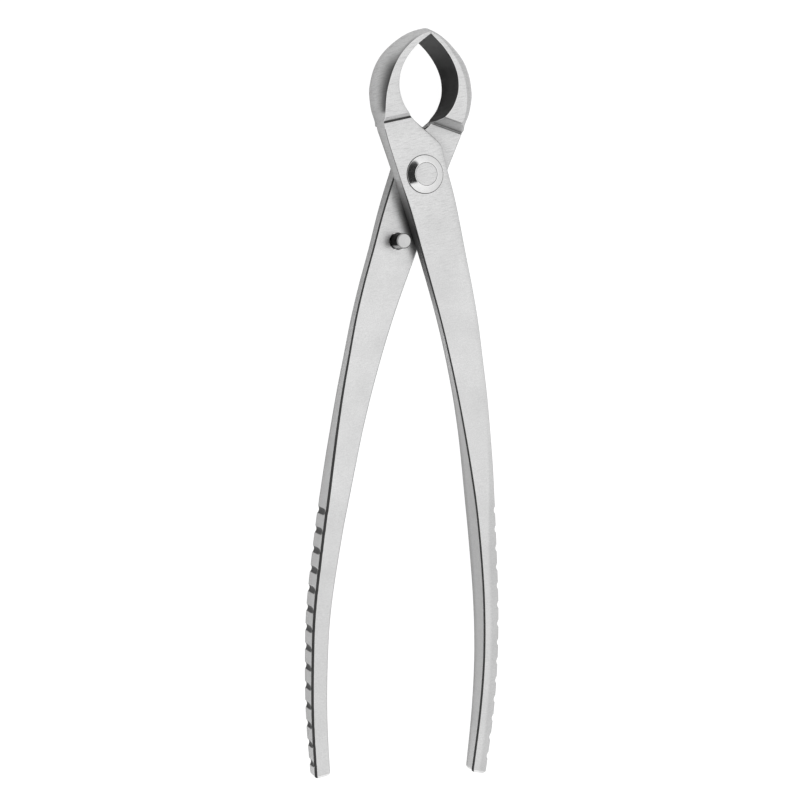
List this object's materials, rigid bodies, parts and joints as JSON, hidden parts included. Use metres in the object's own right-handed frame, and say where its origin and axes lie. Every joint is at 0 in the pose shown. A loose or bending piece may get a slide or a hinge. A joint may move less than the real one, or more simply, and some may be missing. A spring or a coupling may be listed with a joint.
{
  "type": "round-edge hand cutter",
  "caption": "Forged steel hand cutter with two arched jaws that close tip to tip, a riveted lap pivot, a stop pin and long bowed handles with cross-grooved grips.",
  "frame": {"origin": "on the pivot axis, at the flat outer end of the rivet and rear collar, which the tool rests on", "axes": "+Z along the pivot axis towards the front half, +Y along the tool towards the jaws, +X towards the front half's handle"},
  "size_m": [0.0556, 0.208, 0.0134],
  "materials": {
    "forged_steel": "fine satin",
    "collar_steel": "polished",
    "pin_steel": "satin"
  },
  "bodies": {
    "rear_body": {"rear_half": "forged_steel", "stop_pin": "pin_steel", "pivot_pin": "pin_steel", "front_collar": "collar_steel", "rear_collar": "collar_steel"},
    "front_body": {"front_half": "forged_steel"}
  },
  "joints": [
    {"name": "pivot", "type": "hinge", "parent": "rear_body", "child": "front_body", "pos_m": [0, 0, 0], "axis": [0, 0, 1], "range_deg": [0, 90]}
  ]
}
